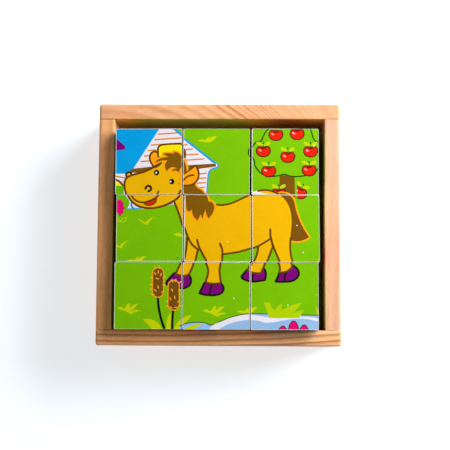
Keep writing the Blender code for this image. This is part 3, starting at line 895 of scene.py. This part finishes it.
def torn_corner():
    """Where the back right cube's top paper has lost its print, along the edge nearest the front."""
    torn = Picture()
    torn.fill([
        (69.6, 31.8, 0), (70.3, 32.6), (71.0, 33.6), (71.8, 33.2), (72.6, 33.0), (73.4, 33.7), (74.6, 33.6),
        (75.6, 34.2), (77.2, 34.5), (79.5, 34.9), (80.0, 35.6, 0), (69.0, 35.6, 0)], PAPER_EDGE)
    return torn


def quarter_turned(outline, quarters):
    """An outline turned by quarters about the middle."""
    for step in range(quarters):
        outline = np.stack([-outline[:, 1], outline[:, 0]], 1)
    return outline


def top_sheet(index, picture):
    """The paper on top of one cube."""
    row, column = divmod(index, 3)
    layers = cell_layers(picture, column, row)
    if PLACES[index] == "back_right":
        layers += cell_layers(torn_corner(), column, row)
    over_u, over_v, shift = OVERHANGS[row]
    bm = bmesh.new()
    add_sheet(bm, layers, WIDE_HALF + over_u, WIDE_HALF + over_v, 3.7 * index,
              Matrix.Translation((0, shift, 0)))
    return bm


def side_sheets(index, pictures):
    """The papers on one cube's other faces, each a cell of a picture of its own."""
    row, column = divmod(index, 3)
    bm = bmesh.new()
    for side, picture in enumerate(pictures):
        quarters = (index * 7 + side * 3) % 4
        layers = cell_layers(picture, (column + side) % 3, (row + index * side) % 3)
        turned = [(colour, quarter_turned(outline, quarters)) for colour, outline in layers]
        add_sheet(bm, turned, SIDE_WIDTHS[side], SIDE_HEIGHTS[side], 3.7 * index + 11 * side,
                  face_turn(side))
    return bm


def build_papers(frames, paper):
    top = meadow()
    others = [fish_picture(), balloon_picture(), sunflower_picture(), barn_picture(), boat_picture()]
    for index, place in enumerate(PLACES):
        for name, node, bm in (("top_sheet_", "top_picture_", top_sheet(index, top)),
                               ("side_sheets_", "side_pictures_", side_sheets(index, others))):
            piece = object_from(bm, name + place, [paper])
            piece.data.transform(frames[place])
            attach(piece, "picture_cube_" + place)
            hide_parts(node + place)


# ---------------------------------------------------------------- cubes of wood

CORE_ARRIS = 0.75 * MM
CORE_WEAR = 0.0016
CORE_SMOOTH_ANGLE = 40


def build_cores(frames, wood):
    half = NARROW_HALF
    for index, place in enumerate(PLACES):
        bm = bmesh.new()
        bmesh.ops.create_cube(bm, size=2 * half)
        bmesh.ops.bevel(bm, geom=bm.edges[:], offset=CORE_ARRIS, segments=5, profile=0.5, affect="EDGES")
        bmesh.ops.subdivide_edges(bm, edges=[edge for edge in bm.edges if edge.calc_length() > half],
                                  cuts=12, use_grid_fill=True)
        for vert in bm.verts:
            spot = vert.co * 220 + Vector((index * 9.1, 0, 0))
            vert.co *= 1 - CORE_WEAR * abs(noise.noise(spot))
        core = object_from(bm, "wooden_cube_" + place, [wood], CORE_SMOOTH_ANGLE)
        core.data.transform(frames[place])
        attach(core, "picture_cube_" + place)
        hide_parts("cube_" + place)


# ---------------------------------------------------------------- rails

RAIL_LOW, RAIL_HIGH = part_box("rail_front")
PANEL_LOW, PANEL_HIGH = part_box("base_panel")
TRAY_HALF = RAIL_HIGH.x
RAIL_DEEP = RAIL_HIGH.y - RAIL_LOW.y
RAIL_TALL = RAIL_HIGH.z
INNER_HALF = TRAY_HALF - RAIL_DEEP
GROOVE_SLACK = 0.3 * MM
GROOVE_DEPTH = PANEL_HIGH.x - INNER_HALF + GROOVE_SLACK
GROOVE_END = 0.02 * MM                   # a groove comes to its full depth over this length
OUTER_ARRIS = 1.2 * MM
INNER_ARRIS = 0.4 * MM
FOOT_ARRIS = 0.6 * MM
END_ROUND = 1.3 * MM
RAIL_STEPS = 72
RAIL_WAVE = 0.05 * MM                    # how far a sanded face wanders from flat
SMOOTH_ANGLE = 32
POCKET_PLAY = 0.08 * MM
POCKET_REACH = 3 * MM
SHANK_REACH = 45 * MM
SHANK_SHARE = 0.75                       # of the head's radius
RAIL_PLAY = 0.08 * MM
LEFT_RAIL_SHORT = 0.14 * MM
LEFT_RAIL_FORWARD = 0.11 * MM            # the left rail was glued a little off the back one


def arc(u, z, radius, start, end, steps):
    angles = np.radians(np.linspace(start, end, steps + 1))
    return [(u + radius * math.cos(angle), z + radius * math.sin(angle)) for angle in angles]


def run(start, end, steps):
    """The evenly spaced points between two ends of a straight run."""
    (u0, z0), (u1, z1) = start, end
    return [(u0 + (u1 - u0) * k / steps, z0 + (z1 - z0) * k / steps) for k in range(1, steps)]


def rail_section(inset, groove, outer, inner):
    """A rail's section: u in from the outer face, z up. inset takes the outer, top and foot faces in."""
    top = RAIL_TALL - inset
    low = PANEL_LOW.z - GROOVE_SLACK
    high = PANEL_HIGH.z + GROOVE_SLACK
    deep = RAIL_DEEP - groove
    section = arc(inset + FOOT_ARRIS, inset + FOOT_ARRIS, FOOT_ARRIS, 270, 180, 4)
    section += run(section[-1], (inset, top - outer), 10)
    section += arc(inset + outer, top - outer, outer, 180, 90, 8)
    section += run(section[-1], (RAIL_DEEP - inner, top), 6)
    section += arc(RAIL_DEEP - inner, top - inner, inner, 90, 0, 5)
    section += run(section[-1], (RAIL_DEEP, high), 8)
    section += [(RAIL_DEEP, high), (deep, high), (deep, low), (RAIL_DEEP, low)]
    section += arc(RAIL_DEEP - INNER_ARRIS, inset + INNER_ARRIS, INNER_ARRIS, 0, -90, 3)
    return section


def rail_stations(half, round_ends, groove_half):
    """Where sections stand along a rail: (place, inset, groove depth)."""
    stations = []
    for step in range(RAIL_STEPS + 1):
        place = -half + 2 * half * step / RAIL_STEPS
        if not round_ends or half - abs(place) > END_ROUND:
            depth = GROOVE_DEPTH if abs(place) < groove_half else 0.0
            stations.append((place, 0.0, depth))
    if round_ends:
        for sign in (-1, 1):
            for degrees in (0, 15, 30, 45, 60, 75, 90):
                angle = math.radians(degrees)
                place = sign * (half - END_ROUND * (1 - math.cos(angle)))
                stations.append((place, END_ROUND * (1 - math.sin(angle)), 0.0))
            stations.append((sign * (groove_half - GROOVE_END), 0.0, GROOVE_DEPTH))
            stations.append((sign * groove_half, 0.0, 0.0))
    return sorted(stations)


def rail_mesh(half, round_ends, seed):
    """A rail along X with its outer face towards -Y at y = 0 and its inner face at y = RAIL_DEEP."""
    bm = bmesh.new()
    groove_half = INNER_HALF + GROOVE_DEPTH if round_ends else TRAY_HALF
    loops = []
    for place, inset, groove in rail_stations(half, round_ends, groove_half):
        worn = noise.noise(Vector((place * 55, seed, 0.3)))
        fine = noise.noise(Vector((place * 260, seed, 7.3)))
        outer = OUTER_ARRIS * (1 + 0.16 * worn + 0.05 * fine)
        inner = INNER_ARRIS * (1 + 0.30 * noise.noise(Vector((place * 70, seed, 4.1))) + 0.1 * fine)
        loops.append([bm.verts.new((place, u, z)) for u, z in rail_section(inset, groove, outer, inner)])
    count = len(loops[0])
    for here, beyond in zip(loops, loops[1:]):
        for index in range(count):
            after = (index + 1) % count
            bm.faces.new((here[index], beyond[index], beyond[after], here[after]))
    bm.faces.new(loops[0])
    bm.faces.new(loops[-1][::-1])
    bmesh.ops.recalc_face_normals(bm, faces=bm.faces)
    bm.normal_update()
    for vert in bm.verts:
        wave = noise.noise(vert.co * 48 + Vector((seed, 0, 0)))
        vert.co += vert.normal * wave * RAIL_WAVE
    return bm


def brad_hole():
    """A cutter for the eight brads' pockets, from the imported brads' boxes."""
    bm = bmesh.new()
    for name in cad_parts:
        if not name.startswith("brad_"):
            continue
        low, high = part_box(name)
        radius = (high.x - low.x) / 2
        facing = -1 if "front" in name else 1
        head = low.y if facing < 0 else high.y
        centre = Vector(((low.x + high.x) / 2, head, (low.z + high.z) / 2))
        outward = Matrix.Rotation(math.radians(-90 * facing), 4, "X")
        for reach, size in ((POCKET_REACH, radius + POCKET_PLAY), (SHANK_REACH, radius * SHANK_SHARE)):
            made = bmesh.ops.create_cone(
                bm, cap_ends=True, segments=28, radius1=size, radius2=size, depth=reach)
            bmesh.ops.transform(bm, matrix=Matrix.Translation(centre) @ outward, verts=made["verts"])
    return object_from(bm, "brad_pockets", [])


def cut_pockets(rail, pockets):
    cut = rail.modifiers.new("pockets", "BOOLEAN")
    cut.operation = "DIFFERENCE"
    cut.solver = "EXACT"
    cut.object = pockets
    bpy.context.view_layer.update()
    evaluated = rail.evaluated_get(bpy.context.evaluated_depsgraph_get())
    mesh = bpy.data.meshes.new_from_object(evaluated)
    rail.modifiers.clear()
    rail.data = mesh
    smooth(mesh, SMOOTH_ANGLE)


def build_rails(materials):
    """The four rails, each along its own side, with brad pockets cut into the front and back ones."""
    pockets = brad_hole()
    shapes = (
        ("rail_front", "front_rail", TRAY_HALF, True, 0, 0),
        ("rail_right", "right_rail", INNER_HALF - RAIL_PLAY, False, 90, 0),
        ("rail_back", "back_rail", TRAY_HALF, True, 180, 0),
        ("rail_left", "left_rail", INNER_HALF - LEFT_RAIL_SHORT, False, 270, LEFT_RAIL_FORWARD),
    )
    for node, name, half, round_ends, turn, slip in shapes:
        bm = rail_mesh(half, round_ends, turn * 0.37 + 1.9)
        place = Matrix.Rotation(math.radians(turn), 4, "Z") @ Matrix.Translation((slip, -TRAY_HALF, 0))
        bmesh.ops.transform(bm, matrix=place, verts=bm.verts)
        rail = object_from(bm, name, [materials[node]], SMOOTH_ANGLE)
        if round_ends:
            cut_pockets(rail, pockets)
        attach(rail, "tray")
        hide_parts(node)
    bpy.data.objects.remove(pockets)


# ---------------------------------------------------------------- shader building

class Shader:
    """A material's node tree, with one method for each kind of step that the materials share."""

    def __init__(self, name):
        self.material = bpy.data.materials.new(name)
        self.material.use_nodes = True
        self.tree = self.material.node_tree
        self.surface = self.tree.nodes["Principled BSDF"]

    def add(self, kind, inputs=None, **settings):
        node = self.tree.nodes.new("ShaderNode" + kind)
        for key, value in settings.items():
            setattr(node, key, value)
        for key, value in (inputs or {}).items():
            self.put(node.inputs[key], value)
        return node

    def put(self, socket, value):
        if isinstance(value, bpy.types.NodeSocket):
            self.tree.links.new(value, socket)
        else:
            socket.default_value = value

    def maths(self, operation, *values, clamp=False):
        node = self.add("Math", operation=operation, use_clamp=clamp)
        for socket, value in zip(node.inputs, values):
            self.put(socket, value)
        return node.outputs[0]

    def vector(self, operation, first, second):
        return self.add("VectorMath", {0: first, 1: second}, operation=operation).outputs[0]

    def place(self, scale=(1, 1, 1), turn=0):
        """The piece's own coordinates in millimetres, turned about Z and scaled."""
        own = self.add("TexCoord").outputs["Object"]
        large = self.vector("MULTIPLY", own, (1000, 1000, 1000))
        turned = self.add("Mapping", {"Vector": large, "Rotation": (0, 0, math.radians(turn))})
        return self.vector("MULTIPLY", turned.outputs[0], scale)

    def noise(self, where, scale, detail=2.0, rough=0.5, distortion=0.0):
        return self.add("TexNoise", {"Vector": where, "Scale": scale, "Detail": detail, "Roughness": rough,
                                     "Distortion": distortion}).outputs["Fac"]

    def ramp(self, value, *stops):
        """A ramp from (place, brightness) or (place, colour) stops."""
        node = self.add("ValToRGB", {"Fac": value})
        elements = node.color_ramp.elements
        while len(elements) < len(stops):
            elements.new(0.5)
        for element, (place, shade) in zip(elements, stops):
            element.position = place
            element.color = shade if isinstance(shade, tuple) else (shade, shade, shade, 1)
        return node.outputs["Color"]

    def mix(self, share, first, second, blend="MIX"):
        node = self.add("Mix", data_type="RGBA", blend_type=blend)
        self.put(node.inputs["Factor"], share)
        self.put(node.inputs[6], first)
        self.put(node.inputs[7], second)
        return node.outputs[2]

    def bump(self, height, distance, strength):
        made = self.add("Bump", {"Height": height, "Distance": distance, "Strength": strength})
        return made.outputs["Normal"]

    def finish(self, **sockets):
        for name, value in sockets.items():
            self.put(self.surface.inputs[name.replace("_", " ")], value)
        return self.material


def end_grain(s, colour, late, turn):
    """Wood that is darker and porous where it faces along its grain."""
    facing = s.add("VectorRotate", {0: s.add("TexCoord").outputs["Normal"], "Angle": math.radians(turn)},
                   rotation_type="Z_AXIS").outputs[0]
    sideways = s.maths("ABSOLUTE", s.add("SeparateXYZ", {0: facing}).outputs[0])
    pores = s.noise(s.place(scale=(4.5, 4.5, 4.5)), 1.0, 2, 0.6)
    darker = s.mix(1.0, colour, (0.83, 0.74, 0.64, 1), "MULTIPLY")
    porous = s.mix(s.ramp(pores, (0.4, 0.0), (0.65, 0.6)), darker, late)
    return s.mix(s.ramp(sideways, (0.55, 0.0), (0.85, 1.0)), colour, porous)


def pine(name, early, late, turn=0, middle=0, across=0.5, lean=0.0, bend=0.0, spacing=4.0, crowd=0.0,
         contrast=1.0, wander=1.0, band=0.35, seed=0.0):
    """Pine with its grain along X once turned, in a piece whose middle line is at Y = middle. The rings
    are nearly flat sheets, as far from the log's middle. across says how much they stand on edge; lean
    and bend tilt them along the piece, so that they run out of its top as slanting streaks. They stand
    spacing apart there, and closer with crowd. band is how much of a ring is dark late wood."""
    s = Shader(name)
    where = s.place(turn=turn)
    x, y, z = s.add("SeparateXYZ", {0: where}).outputs
    curved = s.maths("MULTIPLY", s.maths("MULTIPLY", x, x), bend)
    along = s.maths("ADD", s.maths("MULTIPLY", x, lean), curved)
    depth = s.maths("DIVIDE", s.maths("SUBTRACT", z, RAIL_TALL / MM), across)
    level = s.maths("ADD", s.maths("ADD", along, depth), s.maths("SUBTRACT", y, middle))
    shifted = s.vector("ADD", where, (seed * 17, seed * 5, 0))

    def stretched(along, across, detail, rough):
        """Noise drawn out along the grain."""
        return s.noise(s.vector("MULTIPLY", shifted, (along, across, across)), 1.0, detail, rough)

    slow = stretched(0.025, 0.11, 3, 0.55)
    drift = s.maths("MULTIPLY", s.maths("SUBTRACT", slow, 0.5), 3.4 * wander)
    level = s.maths("ADD", level, drift)
    beyond = s.maths("MAXIMUM", s.maths("ADD", level, 15.0), 0.0)
    year = s.maths("ADD", s.maths("DIVIDE", level, spacing),
                   s.maths("MULTIPLY", s.maths("POWER", beyond, 3.0), crowd))
    year = s.maths("ADD", year, seed + 40.0)
    phase = s.maths("FRACT", year)
    strength = s.add("TexWhiteNoise", {"W": s.maths("FLOOR", year)}, noise_dimensions="1D").outputs["Value"]
    strength = s.maths("MULTIPLY_ADD", strength, 0.75, 0.30)
    dark = 1.0 - band
    ring = s.ramp(phase, (0.0, 0.35), (0.07, 0.0), (dark * 0.6, 0.05), (dark, 0.45),
                  (dark + band * 0.4, 0.9), (dark + band * 0.75, 1.0), (1.0, 0.35))
    ring = s.maths("MULTIPLY", ring, strength)
    fibre = stretched(0.30, 1.5, 4, 0.6)
    fleck = s.ramp(stretched(0.40, 6.5, 2, 0.5), (0.58, 0.0), (0.70, 1.0))
    blotch = stretched(0.03, 0.14, 2, 0.5)
    colour = s.mix(s.maths("MULTIPLY", ring, contrast, clamp=True), early, late)
    colour = s.mix(0.8, colour, s.ramp(fibre, (0.28, 0.82), (0.5, 1.0), (0.75, 1.10)), "MULTIPLY")
    colour = s.mix(s.maths("MULTIPLY", fleck, 0.24), colour, late)
    colour = s.mix(1.0, colour, s.ramp(blotch, (0.3, (0.95, 0.90, 0.85, 1)), (0.7, (1.03, 1.03, 1.03, 1))),
                   "MULTIPLY")
    colour = end_grain(s, colour, late, turn)
    rough = s.maths("MULTIPLY_ADD", fibre, 0.22, 0.42)
    height = s.maths("ADD", s.maths("MULTIPLY", fibre, 0.6), s.maths("MULTIPLY", ring, 0.5))
    s.surface.inputs["Specular IOR Level"].default_value = 0.35
    return s.finish(Base_Color=colour, Roughness=rough, Normal=s.bump(height, 0.00006, 0.7))


def printed_paper():
    """Coated paper: the ink of each region, with faint mottle, worn specks and a soft gloss."""
    s = Shader("printed_paper")
    ink = s.add("Attribute", attribute_name="ink").outputs["Color"]
    where = s.place()
    mottle = s.noise(where, 0.9, 4, 0.6)
    broad = s.noise(where, 0.09, 2, 0.5)
    colour = s.mix(1.0, ink, s.ramp(mottle, (0.3, 0.965), (0.7, 1.02)), "MULTIPLY")
    colour = s.mix(1.0, colour, s.ramp(broad, (0.3, 0.96), (0.7, 1.02)), "MULTIPLY")
    cells = s.add("TexVoronoi", {"Vector": where, "Scale": 0.035, "Randomness": 1.0})
    speck = s.maths("LESS_THAN", cells.outputs["Distance"], s.maths("MULTIPLY_ADD", mottle, 0.03, 0.002))
    scratch_place = s.place(scale=(0.25, 2.6, 1.0), turn=33)
    scratch = s.ramp(s.noise(scratch_place, 1.0, 1, 0.4), (0.80, 0.0), (0.84, 0.35))
    worn = s.maths("MAXIMUM", s.maths("MULTIPLY", speck, 0.85), scratch)
    colour = s.mix(worn, colour, linear(246, 244, 238))
    rough = s.maths("MULTIPLY_ADD", mottle, 0.16, 0.30)
    fibre = s.noise(where, 5.0, 3, 0.6)
    height = s.maths("ADD", s.maths("MULTIPLY", fibre, 0.25), s.maths("MULTIPLY", broad, 4.0))
    s.surface.inputs["Specular IOR Level"].default_value = 0.14
    return s.finish(Base_Color=colour, Roughness=rough, Normal=s.bump(height, 0.00003, 0.5))


def cube_wood():
    return pine("cube_wood", early=linear(226, 198, 160), late=linear(186, 142, 96), across=0.7, lean=0.03,
                spacing=2.6, contrast=0.7, seed=4.0)


def plywood():
    """Thin plywood: a rotary-cut face with wide wandering figure, and layers in its edge."""
    s = Shader("panel_plywood")
    where = s.place(scale=(0.02, 0.11, 0.4))
    figure = s.noise(where, 1.0, 3, 0.55, 1.6)
    bands = s.maths("FRACT", s.maths("MULTIPLY", figure, 9.0))
    line = s.ramp(bands, (0.0, 0.1), (0.6, 0.35), (0.9, 1.0), (1.0, 0.1))
    fibre = s.noise(s.place(scale=(0.08, 3.0, 3.0)), 1.0, 4, 0.6)
    colour = s.mix(line, linear(206, 164, 112), linear(168, 118, 70))
    colour = s.mix(1.0, colour, s.ramp(fibre, (0.3, 0.82), (0.7, 1.06)), "MULTIPLY")
    parts = s.add("SeparateXYZ", {0: s.place()}).outputs
    layer = s.maths("GREATER_THAN", s.maths("PINGPONG", parts[2], 1.0), 0.5)
    across = s.add("SeparateXYZ", {0: s.add("TexCoord").outputs["Normal"]}).outputs[2]
    edge = s.maths("LESS_THAN", s.maths("ABSOLUTE", across), 0.5)
    colour = s.mix(s.maths("MULTIPLY", edge, layer), colour, linear(120, 78, 44))
    rough = s.maths("MULTIPLY_ADD", fibre, 0.2, 0.55)
    return s.finish(Base_Color=colour, Roughness=rough, Normal=s.bump(fibre, 0.00006, 0.6))


def brad_steel():
    """Bright wire with draw marks, a little dirt and a trace of rust."""
    s = Shader("brad_steel")
    marks = s.noise(s.place(scale=(6, 0.6, 6)), 1.0, 3, 0.6)
    dirt = s.ramp(s.noise(s.place(), 1.4, 4, 0.6), (0.52, 0.0), (0.70, 0.8))
    colour = s.mix(dirt, s.mix(marks, linear(150, 150, 154), linear(206, 206, 208)), linear(112, 74, 52))
    rough = s.maths("MULTIPLY_ADD", marks, 0.3, 0.25)
    metal = s.maths("MULTIPLY_ADD", dirt, -0.6, 1.0)
    return s.finish(Base_Color=colour, Roughness=rough, Metallic=metal, Normal=s.bump(marks, 0.00002, 0.5))


def table_top():
    s = Shader("pale_floor")
    grain = s.noise(s.place(), 0.8, 4, 0.6)
    colour = s.mix(grain, linear(222, 236, 249), linear(226, 240, 253))
    return s.finish(Base_Color=colour, Roughness=0.75, Emission_Color=(0.96, 1, 1.04, 1),
                    Emission_Strength=0.58)


# ---------------------------------------------------------------- stage, light and camera

CAMERA_PLACE = Vector((16.4, -55.4, 559.9)) * MM
CAMERA_PITCH, CAMERA_YAW, CAMERA_ROLL = 5.94, 0.19, 1.40
CAMERA_LENS = 80.0
FLOOR_SIZE = 1.6
RAIL_MIDDLE = 60                         # a rail's middle line is this far from the tray's, in mm


def build_floor():
    bm = bmesh.new()
    bmesh.ops.create_grid(bm, x_segments=8, y_segments=8, size=FLOOR_SIZE)
    floor = object_from(bm, "floor", [table_top()])


def area_light(name, azimuth, elevation, distance, width, height, power, colour):
    """A soft light aimed at the tray. Azimuth is from +X towards +Y."""
    light = bpy.data.lights.new(name, "AREA")
    light.energy = power
    light.shape = "RECTANGLE"
    light.size = width
    light.size_y = height
    light.color = colour
    lamp = bpy.data.objects.new(name, light)
    bpy.context.scene.collection.objects.link(lamp)
    flat = math.cos(math.radians(elevation))
    towards = Vector((flat * math.cos(math.radians(azimuth)), flat * math.sin(math.radians(azimuth)),
                      math.sin(math.radians(elevation))))
    lamp.location = towards * distance
    lamp.rotation_euler = towards.to_track_quat("Z", "Y").to_euler()


def build_light():
    """A warm sky that is dimmer straight above, and one soft light from the right."""
    scene = bpy.context.scene
    world = bpy.data.worlds.new("studio")
    scene.world = world
    world.use_nodes = True
    sky = world.node_tree.nodes["Background"].inputs
    sky["Color"].default_value = (1.0, 0.93, 0.84, 1)
    direction = world.node_tree.nodes.new("ShaderNodeTexCoord").outputs["Generated"]
    height = world.node_tree.nodes.new("ShaderNodeSeparateXYZ")
    dimmer = world.node_tree.nodes.new("ShaderNodeMapRange")
    for name, value in (("From Min", 0.80), ("From Max", 0.97), ("To Min", 0.32), ("To Max", 0.10)):
        dimmer.inputs[name].default_value = value
    world.node_tree.links.new(direction, height.inputs[0])
    world.node_tree.links.new(height.outputs[2], dimmer.inputs["Value"])
    world.node_tree.links.new(dimmer.outputs["Result"], sky["Strength"])
    area_light("key", azimuth=31, elevation=30, distance=0.51, width=0.47, height=0.28, power=5.15,
               colour=(0.985, 1.0, 1.02))
    scene.view_settings.view_transform = "Standard"


def build_camera():
    lens = bpy.data.cameras.new("camera")
    lens.lens = CAMERA_LENS
    lens.sensor_width = 36
    lens.clip_start = 0.01
    camera = bpy.data.objects.new("camera", lens)
    bpy.context.scene.collection.objects.link(camera)
    camera.matrix_world = Matrix.Translation(CAMERA_PLACE)
    for angle, axis in ((CAMERA_YAW, "Z"), (CAMERA_PITCH, "X"), (CAMERA_ROLL, "Y")):
        camera.matrix_world = camera.matrix_world @ Matrix.Rotation(math.radians(angle), 4, axis)
    bpy.context.scene.camera = camera


def set_material(node, material):
    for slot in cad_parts[node].material_slots:
        slot.material = material


def main():
    build_floor()
    build_light()
    build_camera()
    late = linear(206, 124, 70)
    rails = {
        # The front rail's early wood colour is set a little lighter than the real wood: painted light, for a
        # brighter front face.
        "rail_front": pine(
            "pine_front_painted_light", early=linear(250, 190, 136), late=linear(136, 66, 30), middle=-RAIL_MIDDLE,
            across=0.62, lean=-0.03, bend=-0.0004, spacing=3.1, contrast=1.5, wander=0.45, band=0.36,
            seed=1.3),
        "rail_back": pine(
            "pine_back", early=linear(247, 188, 142), late=late, middle=RAIL_MIDDLE, across=0.3, lean=0.62,
            bend=0.00475, spacing=6.3, crowd=0.00009, wander=0.8, band=0.5, seed=2.0),
        # The left rail's colours are darker and more saturated than the other rails': painted shade, on top
        # of the real shadow the cubes cast on it.
        "rail_left": pine(
            "pine_left_painted_shade", early=linear(247, 182, 124), late=linear(200, 116, 60), turn=90,
            middle=-RAIL_MIDDLE, lean=0.05, spacing=4.6, contrast=0.35, wander=0.8, seed=3.0),
        # The right rail's early colour is paler than the other rails': painted light, the pale glare of the
        # side that faces the lamp.
        "rail_right": pine(
            "pine_right_painted_light", early=linear(232, 180, 151), late=late, turn=90, middle=RAIL_MIDDLE, lean=0.04,
            spacing=4.4, contrast=0.28, wander=0.8, seed=5.0),
    }
    build_rails(rails)
    set_material("base_panel", plywood())
    steel = brad_steel()
    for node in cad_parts:
        if node.startswith("brad_"):
            set_material(node, steel)
    frames = cube_frames()
    build_cores(frames, cube_wood())
    build_papers(frames, printed_paper())


main()
